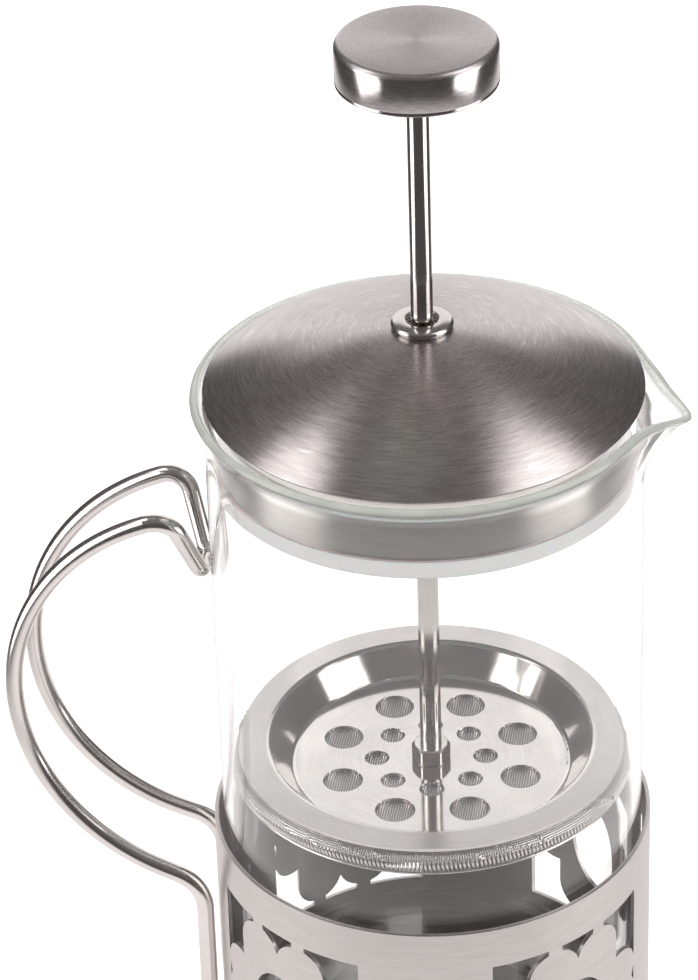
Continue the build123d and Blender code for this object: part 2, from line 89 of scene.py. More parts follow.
class Value:
    """A socket of a node tree that can be used in a Python expression."""

    def __init__(self, tree, socket):
        self.tree = tree
        self.socket = socket

    def node(self, kind, settings=None, out=0, **sockets):
        """Any node, with its settings and then its sockets' values or links."""
        made = self.tree.nodes.new(kind)
        for name, value in (settings or {}).items():
            setattr(made, name, value)
        for name, value in sockets.items():
            key = int(name[1:]) if name[0] == "_" else name.replace("_", " ")
            target = made.inputs[key]
            if isinstance(value, Value):
                self.tree.links.new(value.socket, target)
            else:
                target.default_value = value
        return Value(self.tree, made.outputs[out] if made.outputs else None)

    def maths(self, operation, *values):
        numbered = {f"_{index}": value for index, value in enumerate(values)}
        return self.node("ShaderNodeMath", {"operation": operation}, **numbered)

    def __add__(self, other):
        return self.maths("ADD", self, other)

    def __radd__(self, other):
        return self.maths("ADD", other, self)

    def __sub__(self, other):
        return self.maths("SUBTRACT", self, other)

    def __rsub__(self, other):
        return self.maths("SUBTRACT", other, self)

    def __mul__(self, other):
        return self.maths("MULTIPLY", self, other)

    def __rmul__(self, other):
        return self.maths("MULTIPLY", other, self)

    def __truediv__(self, other):
        return self.maths("DIVIDE", self, other)

    def __pow__(self, other):
        return self.maths("POWER", self, other)

    def part(self, axis):
        """One number out of a vector."""
        return self.node("ShaderNodeSeparateXYZ", out="XYZ".index(axis), _0=self)

    def fade(self, low, high):
        """0 below low, 1 above high, and smooth between."""
        settings = {"interpolation_type": "SMOOTHSTEP"}
        span = {"_1": low, "_2": high, "_3": 0.0, "_4": 1.0}
        return self.node("ShaderNodeMapRange", settings, _0=self, **span)

    def join(self, y, z):
        """A vector from three numbers."""
        return self.node("ShaderNodeCombineXYZ", _0=self, _1=y, _2=z)

    def between(self, first, second):
        """A colour between two colours, this far along."""
        settings = {"data_type": "RGBA"}
        return self.node("ShaderNodeMix", settings, out=2, _0=self, _6=first, _7=second)


def mirrored_share(start):
    """1 where a path has met bare metal, less where it has only wandered in the glass."""
    mirrors = start.node("ShaderNodeLightPath", out="Glossy Depth").fade(0.2, 0.8)
    glass = start.node("ShaderNodeLightPath", out="Transmission Depth")
    in_glass = glass.fade(0.2, 0.8) * (1.0 - glass.fade(2.2, 2.8))
    lost_in_glass = 0.72
    return mirrors * (1.0 - lost_in_glass * in_glass)


def light_room():
    """The white surroundings, which bare metal sees as a dim room with a ceiling panel."""
    world = bpy.data.worlds.new("studio")
    bpy.context.scene.world = world
    world.use_nodes = True
    tree = world.node_tree
    tree.nodes.clear()
    start = Value(tree, None)
    direction = start.node("ShaderNodeTexCoord", out=0)
    height = direction.part("Z")
    white_level, wall_level, ceiling_level, panel_level = 1.3, 0.085, 0.10, 0.16
    toward_panel = direction.part("X") * -0.11 + direction.part("Y") * 0.05 + height * 0.99
    panel = toward_panel.fade(0.965, 0.992)
    dim = wall_level + ceiling_level * height.fade(0.1, 0.9) + panel_level * panel
    mirrored = mirrored_share(start)
    strength = mirrored * dim + (1.0 - mirrored) * white_level
    walls = mirrored.between((1.0, 0.98, 0.975, 1.0), (1.0, 0.935, 0.935, 1.0))
    tint = panel.between(walls, (0.93, 1.0, 0.90, 1.0))
    background = start.node("ShaderNodeBackground", Color=tint, Strength=strength)
    start.node("ShaderNodeOutputWorld", Surface=background)
    world.cycles.sampling_method = "NONE"


def soft_box(name, azimuth, elevation, distance, width, height, radiance):
    """One rectangular diffuser, aimed at the lid. Azimuth 0 stands behind the press."""
    data = bpy.data.lights.new(name, "AREA")
    data.shape = "RECTANGLE"
    data.size = width
    data.size_y = height
    data.energy = radiance * math.pi * width * height
    data.color = (1.0, 0.985, 0.975)
    lamp = bpy.data.objects.new(name, data)
    bpy.context.scene.collection.objects.link(lamp)
    turn, tilt = math.radians(azimuth), math.radians(elevation)
    level = math.cos(tilt)
    away = studio(math.sin(turn) * level, math.cos(turn) * level, math.sin(tilt))
    lamp.location = Vector((0, 0, rim_z)) + away * distance
    lamp.rotation_mode = "QUATERNION"
    lamp.rotation_quaternion = away.to_track_quat("Z", "Y")
    lamp.visible_camera = False


def upright(left, right, top):
    """The corners of a sheet that stands on the table between two places."""
    return [(*left, table_z), (*right, table_z), (*right, top), (*left, top)]


def stage_sheet(name, corners, shader_of):
    """A flat sheet of the set, with a shader made by the function it is given."""
    mesh = bpy.data.meshes.new(name)
    mesh.from_pydata([tuple(studio(*corner)) for corner in corners], [], [(0, 1, 2, 3)])
    sheet = bpy.data.objects.new(name, mesh)
    bpy.context.scene.collection.objects.link(sheet)
    material = bpy.data.materials.new(name)
    material.use_nodes = True
    material.node_tree.nodes.clear()
    start = Value(material.node_tree, None)
    start.node("ShaderNodeOutputMaterial", Surface=shader_of(start))
    material.cycles.emission_sampling = "NONE"
    mesh.materials.append(material)
    return sheet


def table_shader(start):
    """White laminate, which bare metal sees fall into shade away from the press."""
    across = start.node("ShaderNodeTexCoord", out="Object")
    x, y = across.part("X"), across.part("Y")
    side, front = studio(1, 0, 0), studio(0, -1, 0)
    sideways = x * side.x + y * side.y
    forward = x * front.x + y * front.y
    near = forward.maths("MAXIMUM", forward, 0.0)
    distance = (sideways * sideways + near * near) ** 0.5
    speckle = start.node("ShaderNodeTexNoise", Vector=across, Scale=40.0, Detail=3.0)
    pale = speckle.between((0.80, 0.79, 0.785, 1), (0.83, 0.82, 0.815, 1))
    cloth = start.node("ShaderNodeBsdfDiffuse", Color=pale)
    seen = start.node("ShaderNodeLightPath", out="Is Camera Ray")
    through = start.node("ShaderNodeLightPath", out="Is Transmission Ray")
    lift = seen.maths("MAXIMUM", seen, through) * 0.55
    glow = start.node("ShaderNodeEmission", Color=(1, 1, 1, 1), Strength=lift)
    for_eyes = start.node("ShaderNodeAddShader", _0=cloth, _1=glow)
    shade = 0.95 - 0.87 * distance.fade(0.14, 0.37)
    for_metal = start.node("ShaderNodeEmission", Color=(1.0, 0.955, 0.95, 1), Strength=shade)
    mirrored = mirrored_share(start)
    return start.node("ShaderNodeMixShader", _0=mirrored, _1=for_eyes, _2=for_metal)


def sweep_shader(start):
    """The paper sweep behind the press, which only bare metal sees end."""
    across = start.node("ShaderNodeTexCoord", out="Object")
    side = studio(1, 0, 0)
    offset = across.part("X") * side.x + across.part("Y") * side.y
    edge = 1.0 - (offset * offset).fade(0.05, 0.115)
    top = 1.0 - across.part("Z").fade(0.60, 0.68)
    paper = start.node("ShaderNodeEmission", Color=(1, 0.985, 0.975, 1), Strength=1.1)
    clear = start.node("ShaderNodeBsdfTransparent")
    shown = edge * top * mirrored_share(start)
    return start.node("ShaderNodeMixShader", _0=shown, _1=clear, _2=paper)


def side_card_shader(start):
    """A lit diffuser standing beside the press, seen by bare metal only."""
    paper = start.node("ShaderNodeEmission", Color=(1, 0.985, 0.975, 1), Strength=2.3)
    clear = start.node("ShaderNodeBsdfTransparent")
    return start.node("ShaderNodeMixShader", _0=mirrored_share(start), _1=clear, _2=paper)


aim_camera()
light_room()
soft_box(
    "left_soft_box", azimuth=-88, elevation=50, distance=0.62, width=0.26, height=0.24, radiance=2.2
)
soft_box(
    "right_soft_box", azimuth=97, elevation=54, distance=0.62, width=0.34, height=0.28, radiance=2.2
)
table_z = press_foot_z - 0.0003
table_half = 4.0
table = [(x * table_half, y * table_half, table_z) for x, y in ((-1, -1), (1, -1), (1, 1), (-1, 1))]
stage_sheet("table_top", table, table_shader)
sweep = upright((-0.4, 0.65), (0.4, 0.65), top=0.70)
left_card = upright((-0.35, -0.28), (-0.35, 0.0), top=0.42)
right_card = upright((0.35, -0.28), (0.35, 0.0), top=0.42)
for name, corners, shader_of in (
    ("white_sweep", sweep, sweep_shader),
    ("left_card", left_card, side_card_shader),
    ("right_card", right_card, side_card_shader),
):
    stage_sheet(name, corners, shader_of).visible_shadow = False
bpy.context.scene.view_settings.view_transform = "Standard"
bpy.context.scene.cycles.max_bounces = 20
bpy.context.scene.cycles.transmission_bounces = 16
bpy.context.scene.cycles.glossy_bounces = 6

# ---- frame base ---------------------------------------------------------------------
# The bottom plate is one pressing of 1 mm stainless sheet, with a raised ring that the
# beaker stands on and a short flange spot-welded inside the sleeve.


class Finish:
    """One procedural material, built on a Principled shader."""

    def __init__(self, name, **constants):
        self.material = bpy.data.materials.new(name)
        self.material.use_nodes = True
        self.tree = self.material.node_tree
        self.shader = self.tree.nodes["Principled BSDF"]
        self.start = Value(self.tree, None)
        self.place = self.start.node("ShaderNodeTexCoord", out=3)
        for socket, value in constants.items():
            self.shader.inputs[socket.replace("_", " ")].default_value = value

    def vary(self, socket, value):
        """Let a value that changes over the surface feed one of the shader's sockets."""
        self.tree.links.new(value.socket, self.shader.inputs[socket])

    def noise(self, vector, scale=1.0, detail=2.0, roughness=0.5):
        return self.start.node(
            "ShaderNodeTexNoise", Vector=vector, Scale=scale, Detail=detail, Roughness=roughness
        )

    def bump(self, height, depth, strength=1.0):
        """Raise the surface by a height map whose full range is depth, in metres."""
        sockets = {"Strength": strength, "Distance": depth, "Height": height}
        self.vary("Normal", self.start.node("ShaderNodeBump", **sockets))

    def around(self):
        """Where a point lies about the Z axis: radius, cosine and sine of its turn, height."""
        x, y, z = (self.place.part(axis) for axis in "XYZ")
        radius = (x * x + y * y) ** 0.5
        return radius, x / (radius + 1e-6), y / (radius + 1e-6), z

    def wear(self, grey, spread, scale):
        """Cloudy changes of tone, as handling and cleaning leave on bare steel."""
        cloud = self.noise(self.place, scale=scale, detail=4.0)
        dark = tuple(grey[i] * (1 - spread) for i in range(3)) + (1,)
        light = tuple(min(1, grey[i] * (1 + spread)) for i in range(3)) + (1,)
        return cloud.fade(0.3, 0.7).between(dark, light)


def round_grain(finish, fine, length):
    """Fine brushing that runs round the Z axis: fine lines per metre, arc length in radians."""
    radius, turn_cos, turn_sin, z = finish.around()
    across = (radius + z * 0.7) * fine
    return finish.noise(across.join(turn_cos * (1 / length), turn_sin * (1 / length)), detail=3.0)


steel_grey = (0.62, 0.595, 0.58)


dull_steel = (0.90, 0.85, 0.85, 1)


def brushed_steel(name, fine, length, roughness, streaks, anisotropic=0.7, tone=1.0, dull_within=0):
    """Stainless sheet brushed round the beaker's axis, and left dull within a radius."""
    finish = Finish(name, Metallic=1.0, Anisotropic=anisotropic, Anisotropic_Rotation=0.25)
    grain = round_grain(finish, fine, length)
    coarse = round_grain(finish, fine * 0.22, length * 2.2)
    mixed = grain * 0.6 + coarse * 0.4
    grey = tuple(channel * tone for channel in steel_grey)
    dark = tuple(channel * (1 - streaks) for channel in grey) + (1,)
    light = tuple(min(1, channel * (1 + streaks)) for channel in grey) + (1,)
    colour = mixed.fade(0.3, 0.7).between(dark, light)
    cloud = finish.noise(finish.place, scale=60.0, detail=3.0)
    haze = roughness * (0.8 + mixed * 0.25 + cloud * 0.15)
    if dull_within:
        radius, _, _, _ = finish.around()
        dull = 1.0 - radius.fade(dull_within - 0.0002, dull_within)
        colour = dull.between(colour, dull_steel)
        haze = haze + dull * 0.24
    finish.vary("Base Color", colour)
    finish.vary("Roughness", haze)
    finish.bump(mixed, 2e-6)
    return finish.material


def dress(node, material):
    """Give a CAD node's object one finish."""
    nodes[node].data.materials.clear()
    nodes[node].data.materials.append(material)


dress("frame_base", brushed_steel("pressed_base_steel", 2500, 0.25, 0.50, 0.06, tone=1.4))

# ---- frame sleeve -------------------------------------------------------------------
# A band of 1 mm stainless sheet, rolled and seam-welded, with four laser-cut windows
# that each hold an eight-lobed flower. The outside is brushed round the band, and the
# inside is left dull.

sleeve_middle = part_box("frame_sleeve")[1].y - 0.0005
sleeve_look = {"anisotropic": 0.6, "tone": 1.06, "dull_within": sleeve_middle}
dress("frame_sleeve", brushed_steel("sleeve_steel", 5200, 0.10, 0.30, 0.07, **sleeve_look))

# ---- wire handle --------------------------------------------------------------------
# One length of 4.2 mm stainless wire, polished, bent double and spot-welded to the
# sleeve by its two legs. Drawing leaves faint lines along the wire.


def polished_steel(name, roughness, tone=1.0, haze=90.0):
    """Bright stainless with the small waves and smears that hand polishing leaves."""
    finish = Finish(name, Metallic=1.0)
    grey = tuple(min(1.0, channel * 1.12 * tone) for channel in steel_grey)
    finish.vary("Base Color", finish.wear(grey, 0.05, haze))
    smear = finish.noise(finish.place, scale=haze * 1.7, detail=4.0)
    finish.vary("Roughness", roughness * (0.7 + smear * 0.6))
    ripple = finish.noise(finish.place, scale=420.0, detail=2.0)
    finish.bump(ripple, 6e-6)
    return finish.material


dress("handle_wire", polished_steel("handle_steel", 0.16, tone=1.18))

# ---- glass beaker -------------------------------------------------------------------
# Blown borosilicate, 2.2 mm thick, fire-polished round the rim, with a spout pinched
# out of the flared rim while the glass was soft. Long paths through it look greenish.

beaker_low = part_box("glass_beaker")[0]
beaker_radius = 0.050
wall = 0.0022
glass_floor = 0.003
outer_corner = 0.007
rim_flare = 0.0029
rim_flare_height = 0.007
rim_pinch = 0.0005
spout_reach = 0.016
spout_height = 0.022
spout_run_out = 0.004
spout_half_angle = 7.2
spout_drop = 0.0046
bead = 0.0012
skin = 0.00004


def glass_radius(base_radius, angle, drop, half_angle):
    """How far the glass stands from the axis, at an angle from the spout and a depth."""
    below_bead = max(0.0, drop - bead)
    flare = max(0.0, 1 - below_bead / (rim_flare_height - bead)) ** 2
    lift = max(0.0, 1 - drop / spout_height) ** 2
    eased = math.sqrt(angle**2 + 1.2**2) - 1.2
    beside = math.exp(-(((abs(angle) - 20) / 12) ** 2))
    reach = rim_flare * flare - rim_pinch * flare * beside
    return base_radius + reach + spout_reach * lift * math.exp(-((eased / half_angle) ** 1.25))


def lip_drop(x):
    """How far the pouring lip lies below the rim at a distance in front of the axis."""
    along = (x - beaker_radius) / (spout_reach + rim_flare + wall)
    along = min(1.0, max(0.0, along * 1.12))
    return spout_drop * along * along * (3 - 2 * along)


def glass_section(angle, steps):
    """The wall's closed section at one angle, as (radius, height) from floor to floor."""
    top = 0.0
    for _ in range(12):
        reach = glass_radius(beaker_radius, angle, top, spout_half_angle)
        top = lip_drop(reach * math.cos(math.radians(angle)))
    points = [(0.0, beaker_low.z + skin)]
    for step in range(steps + 1):
        bend = math.pi / 2 * step / steps
        r = beaker_radius - outer_corner + outer_corner * math.sin(bend)
        points.append((r - skin, beaker_low.z + skin + outer_corner * (1 - math.cos(bend))))
    body_top = rim_z - spout_height - spout_run_out
    for share in (0.25, 0.5, 0.75):
        points.append((beaker_radius - skin, beaker_low.z + (body_top - beaker_low.z) * share))
    rows = 26
    depth = rim_z - top - bead - body_top
    for row in range(rows + 1):
        z = body_top + depth * row / rows
        r = glass_radius(beaker_radius, angle, rim_z - z, spout_half_angle)
        points.append((r - skin, z))
    outer_r, outer_z = points[-1]
    inner_base = beaker_radius - wall
    inner_r = glass_radius(inner_base, angle, rim_z - outer_z, spout_half_angle * 0.9)
    middle, half = (outer_r + inner_r) / 2, (outer_r - inner_r) / 2
    for step in range(1, steps):
        bend = math.pi * step / steps
        z = outer_z + (bead - skin) * math.sin(bend)
        points.append((middle + half * math.cos(bend), z))
    for row in range(rows, -1, -1):
        z = body_top + depth * row / rows
        r = glass_radius(inner_base, angle, rim_z - z, spout_half_angle * 0.9)
        points.append((r, z))
    for share in (0.75, 0.5, 0.25):
        points.append((inner_base, beaker_low.z + (body_top - beaker_low.z) * share))
    inner_corner = outer_corner - wall
    for step in range(steps, -1, -1):
        bend = math.pi / 2 * step / steps
        r = inner_base - inner_corner + inner_corner * math.sin(bend)
        points.append((r, beaker_low.z + glass_floor + inner_corner * (1 - math.cos(bend))))
    points.append((0.0, beaker_low.z + glass_floor))
    return points


def add_piece(name, mesh, body, slot, material, *replaced):
    """Link a finished mesh as a piece that rides a body and stands for CAD nodes."""
    piece = bpy.data.objects.new(name, mesh)
    bpy.context.scene.collection.objects.link(piece)
    mesh.materials.clear()
    mesh.materials.append(material)
    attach(piece, body)
    if replaced:
        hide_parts(*replaced)
    return piece


def turned_mesh(name, sections, angles):
    """A closed skin through sections that stand round the Z axis at these angles."""
    work = bmesh.new()
    depth = work.verts.layers.float.new("below_top")
    rings = []
    for section, angle in zip(sections, angles):
        turn = math.radians(angle)
        ring = [work.verts.new((r * math.cos(turn), r * math.sin(turn), z)) for r, z in section]
        for vert in ring:
            vert[depth] = max(z for _, z in section) - vert.co.z
        rings.append(ring)
    for index, ring in enumerate(rings):
        following = rings[(index + 1) % len(rings)]
        for step in range(len(ring) - 1):
            work.faces.new((ring[step], following[step], following[step + 1], ring[step + 1]))
    bmesh.ops.remove_doubles(work, verts=work.verts, dist=1e-7)
    bmesh.ops.recalc_face_normals(work, faces=work.faces)
    mesh = bpy.data.meshes.new(name)
    work.to_mesh(mesh)
    work.free()
    for face in mesh.polygons:
        face.use_smooth = True
    return mesh


def blown_glass():
    """Clear glass, with a streaked pale green layer painted over the top of the rim: the green is
    the glass's own tint, and its pale brightness is painted light standing in for the light that
    gathers inside the thick rim.
    """
    finish = Finish("borosilicate", Roughness=0.0, IOR=1.47, Transmission_Weight=1.0)
    start = finish.start
    cloud = finish.noise(finish.place, scale=30.0, detail=2.0)
    finish.vary("Base Color", cloud.between((0.985, 0.992, 0.985, 1), (0.995, 0.998, 0.994, 1)))
    ripple = finish.noise(finish.place, scale=35.0, detail=1.0)
    finish.bump(ripple, 2e-5, 0.35)
    below = start.node("ShaderNodeAttribute", {"attribute_name": "below_top"}, out="Fac")
    # Painted light: the rim's opaque green layer, streaked lighter and darker, stands in for the
    # light seen inside the thick glass; only its green hue is the glass's own tint.
    painted_rim_light_streak = finish.noise(finish.place, scale=160.0, detail=3.0)
    green = painted_rim_light_streak.between((0.40, 0.425, 0.385, 1), (0.66, 0.68, 0.64, 1))
    rim_tint_and_painted_light = start.node(
        "ShaderNodeBsdfPrincipled", Base_Color=green, Roughness=0.08, IOR=1.47, Coat_Weight=0.6
    )
    # How much of the painted rim light covers the glass: most in the top 2 mm, a little down to 7
    # mm.
    share = 0.56 * (1.0 - below.fade(0.0006, 0.0022)) + 0.14 * (1.0 - below.fade(0.002, 0.007))
    clear = Value(finish.tree, finish.shader.outputs[0])
    mixed = start.node("ShaderNodeMixShader", _0=share, _1=clear, _2=rim_tint_and_painted_light)
    finish.tree.links.new(mixed.socket, finish.tree.nodes["Material Output"].inputs["Surface"])
    return finish.material


def spout_angles():
    """Angles round the rim, close together at the spout and wider behind it."""
    count = 110
    half = [180 * (step / count) ** 1.35 for step in range(1, count)]
    return [0.0] + half + [180.0] + [-angle for angle in reversed(half)]


rim_angles = spout_angles()
beaker_sections = [glass_section(angle, 8) for angle in rim_angles]
beaker_mesh = turned_mesh("beaker", beaker_sections, rim_angles)
add_piece("beaker", beaker_mesh, "beaker", "beaker_glass", blown_glass(), "glass_beaker")

# ---- plunger rod and nuts -----------------------------------------------------------
# A 5 mm stainless rod, centreless ground and polished, threaded at both ends. A chamfered
# hexagon nut above and one below clamp the filter pack to it.

dress("plunger_rod", polished_steel("rod_steel", 0.11, tone=1.06, haze=60.0))

nut_low, nut_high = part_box("top_nut")
nut_half_flats = 0.0041
nut_corner_wear = 0.00014
nut_corner = nut_half_flats / math.cos(math.radians(30)) - nut_corner_wear
nut_turn = 8.3
nut_bore = 0.00256
nut_chamfer = math.tan(math.radians(28))


def nut_section(angle):
    """The nut's closed section at one angle, with a chamfer above and below."""
    from_flat = (angle - nut_turn) % 60 - 30
    outer = min(nut_half_flats / math.cos(math.radians(from_flat)), nut_corner) - skin
    land = nut_half_flats * 0.94
    drop = (outer - land) * nut_chamfer
    low, high = nut_low.z + skin, nut_high.z - skin
    shoulders = [(land, low), (outer, low + drop), (outer, high - drop), (land, high)]
    return [(nut_bore, low), *shoulders, (nut_bore, high), (nut_bore, low)]


nut_angles = [nut_turn + step * 2.5 for step in range(144)]
nut_sections = [nut_section(angle) for angle in nut_angles]
nut_mesh = turned_mesh("clamp_nut", nut_sections, nut_angles)
nut_mesh.set_sharp_from_angle(angle=math.radians(16))
nut_finish = polished_steel("nut_steel", 0.2, tone=1.25)
add_piece("clamp_nut", nut_mesh, "plunger", "nut_steel", nut_finish, "top_nut")
dress("bottom_nut", polished_steel("lower_nut_steel", 0.14))

# ---- filter disc --------------------------------------------------------------------
# A 0.8 mm stainless pressing. Its dished middle is polished and drilled with two rings
# of holes, and the flat rim round the dish is left satin.

dish_edge = 0.0385
dish_floor_edge = 0.033


def pressed_disc_steel():
    """Polished in the dish, and satin on the rim round it."""
    finish = Finish("disc_steel", Metallic=1.0, Anisotropic=0.3, Anisotropic_Rotation=0.25)
    radius, _, _, _ = finish.around()
    on_rim = radius.fade(dish_edge - 0.0004, dish_edge + 0.0012)
    grain = round_grain(finish, 3600, 0.35)
    smear = finish.noise(finish.place, scale=70.0, detail=4.0)
    tone = (smear * 0.6 + grain * 0.4).fade(0.3, 0.7)
    finish.vary("Base Color", tone.between((0.70, 0.665, 0.655, 1), (0.82, 0.785, 0.775, 1)))
    finish.vary("Roughness", 0.07 + on_rim * 0.13 + smear * 0.05)
    finish.bump(grain * on_rim + smear * 0.4, 2.5e-6)
    return finish.material


dress("filter_disc", pressed_disc_steel())

# ---- filter screen ------------------------------------------------------------------
# Fine stainless wire cloth, cut as a disc and folded down over the ring spring. The fold
# gathers the cloth into short pleats that stand up between the disc and the glass.

screen_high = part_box("filter_mesh")[1]
screen_radius = screen_high.x - skin
screen_top = screen_high.z - skin
screen_bore = 0.0028
cloth_gauge = 0.0003
cloth_pitch = 0.00058
dish_depth = 0.007
fold_rise = 0.0021
fold_bend = 0.0012
fold_steps = 6
fold_start = 9
fold_middle = 12
pleat_height = 0.0007
pleat_width = 0.00045


def pleat_angles():
    """Where the gathered cloth stands up, at uneven steps round the edge, in radians."""
    angles, angle, step = [], 0.07, 0
    while angle < 2 * math.pi - 0.05:
        angles.append(angle)
        step += 1
        angle += 0.105 + 0.055 * math.sin(step * 2.3) + 0.03 * math.sin(step * 5.1)
    return angles


def pleat_lift(angle, at_depth, pleats):
    """How far a pleat raises the cloth at an angle; pleats lean as they go down."""
    lift = 0.0
    for number, centre in enumerate(pleats):
        lean = (0.0009 + 0.0006 * math.sin(number * 1.7)) / screen_radius
        offset = (angle - centre - lean * at_depth) * screen_radius / pleat_width
        if abs(offset) < 3:
            lift += math.exp(-offset * offset) * (0.6 + 0.4 * math.sin(number * 3.1))
    return lift * pleat_height


def screen_line():
    """The cloth's half section from its bore to the hem, as (radius, height, fold share)."""
    floor_z = screen_top - dish_depth
    line = [
        (screen_bore, floor_z, 0.0),
        (0.012, floor_z, 0.0),
        (0.022, floor_z, 0.0),
        (dish_floor_edge - 0.0006, floor_z, 0.0),
        (dish_floor_edge + 0.0006, floor_z + 0.0005, 0.0),
        (dish_edge - 0.0007, screen_top - 0.0007, 0.0),
        (dish_edge + 0.0004, screen_top, 0.0),
        (0.0420, screen_top, 0.0),
        (0.0448, screen_top, 0.05),
    ]
    side = screen_radius - pleat_height
    crown = screen_top - pleat_height
    for step in range(fold_steps + 1):
        bend = math.pi / 2 * step / fold_steps
        r = side - fold_bend * (1 - math.sin(bend))
        z = crown - fold_bend * (1 - math.cos(bend))
        line.append((r, z, 0.3 + 0.7 * step / fold_steps))
    line.append((side, screen_top - 0.0020, 1.0))
    line.append((side, screen_top - fold_rise, 0.6))
    return line


def folded_screen():
    """A closed thin skin of cloth, with a UV map in metres along its threads."""
    steps = 1080
    pleats = pleat_angles()
    line = screen_line()
    work = bmesh.new()
    uv = work.loops.layers.uv.new("threads")
    crest = work.verts.layers.float.new("crest")
    top_rings, low_rings = [], []
    for step in range(steps):
        angle = 2 * math.pi * step / steps
        out = Vector((math.cos(angle), math.sin(angle), 0))
        up = Vector((0, 0, 1))
        top_ring, low_ring = [], []
        for number, (r, z, share) in enumerate(line):
            lift = share * pleat_lift(angle, max(0, number - fold_start), pleats) if share else 0.0
            outward, upward = (lift, 0.0) if number > fold_middle else (lift * 0.6, lift * 0.8)
            place = out * (r + outward) + up * (z + upward)
            top_ring.append(work.verts.new(place))
            top_ring[-1][crest] = lift / pleat_height
            outside = up if number <= fold_start else out
            low_ring.append(work.verts.new(place - outside * cloth_gauge))
        top_rings.append(top_ring)
        low_rings.append(low_ring)
    arc = [0.0]
    for first, second in zip(line, line[1:]):
        arc.append(arc[-1] + math.hypot(second[0] - first[0], second[1] - first[1]))

    def add_face(verts, spots):
        face = work.faces.new(verts)
        face.smooth = True
        for loop, (step, number) in zip(face.loops, spots):
            angle = 2 * math.pi * step / steps
            r, _, _ = line[number]
            flat = (r * math.cos(angle), r * math.sin(angle))
            wrapped = (angle * screen_radius, arc[number])
            loop[uv].uv = flat if number < fold_start - 1 else wrapped

    last = len(line) - 1
    for step in range(steps):
        following = (step + 1) % steps
        for number in range(last):
            beside = number + 1
            spots = [(step, number), (step, beside), (step + 1, beside), (step + 1, number)]
            corners = [(step, number), (step, beside), (following, beside), (following, number)]
            add_face([top_rings[i][j] for i, j in corners][::-1], spots[::-1])
            add_face([low_rings[i][j] for i, j in corners], spots)
        for number, order in ((0, 1), (last, -1)):
            rim = [top_rings[step][number], top_rings[following][number]]
            rim += [low_rings[following][number], low_rings[step][number]]
            spots = [(step, number), (step + 1, number), (step + 1, number), (step, number)]
            add_face(rim[::order], spots[::order])
    bmesh.ops.recalc_face_normals(work, faces=work.faces)
    mesh = bpy.data.meshes.new("filter_screen")
    work.to_mesh(mesh)
    work.free()
    return mesh


def wire_cloth():
    """Plain weave: round wires over and under each other, painted dark between them and down their
    sides as shade, and painted bright along the pleat crests as a highlight.
    """
    finish = Finish("wire_cloth", Metallic=1.0)
    threads = finish.start.node("ShaderNodeUVMap", {"uv_map": "threads"})
    along, across = threads.part("X"), threads.part("Y")
    turn = 2 * math.pi / cloth_pitch
    warp = along.maths("SINE", along * turn)
    weft = along.maths("SINE", across * turn)
    wires = warp.maths("MAXIMUM", warp, weft)
    cloud = finish.noise(finish.place, scale=150.0, detail=3.0)
    crest = finish.start.node("ShaderNodeAttribute", {"attribute_name": "crest"}, out="Fac")
    # Painted light: the colour is darkest between the wires and on their sides as painted shade,
    # lightest on the wire tops, and the pleat crests are painted brighter as a painted highlight;
    # the cloud adds random tone.
    wire_and_crest_painted_light = wires.fade(-0.6, 0.8) * (0.8 + cloud * 0.5) + crest.fade(0.2, 0.6) * 1.2
    finish.vary("Base Color", wire_and_crest_painted_light.between((0.13, 0.122, 0.122, 1), (0.98, 0.94, 0.935, 1)))
    polish = 0.16 * wires.fade(0.0, 1.0) + 0.08 * crest.fade(0.2, 0.6)
    finish.vary("Roughness", 0.42 - polish)
    finish.bump(wires, 7e-5)
    return finish.material


screen_mesh = folded_screen()
add_piece("filter_screen", screen_mesh, "plunger", "mesh_steel", wire_cloth(), "filter_mesh")

# ---- ring spring --------------------------------------------------------------------
# A close-wound coil of thin bright wire, bent into a ring, which presses the folded
# cloth against the glass. A plain hoop of wire closes the hem below it.

coil_low, coil_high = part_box("coil_spring")
coil_turns = 300
coil_wire = 0.00031
turn_radius = (coil_high.z - coil_low.z) / 2 - coil_wire - skin
ring_radius = coil_high.x - (coil_high.z - coil_low.z) / 2
coil_slant = math.radians(11)
hoop_wire = 0.00035


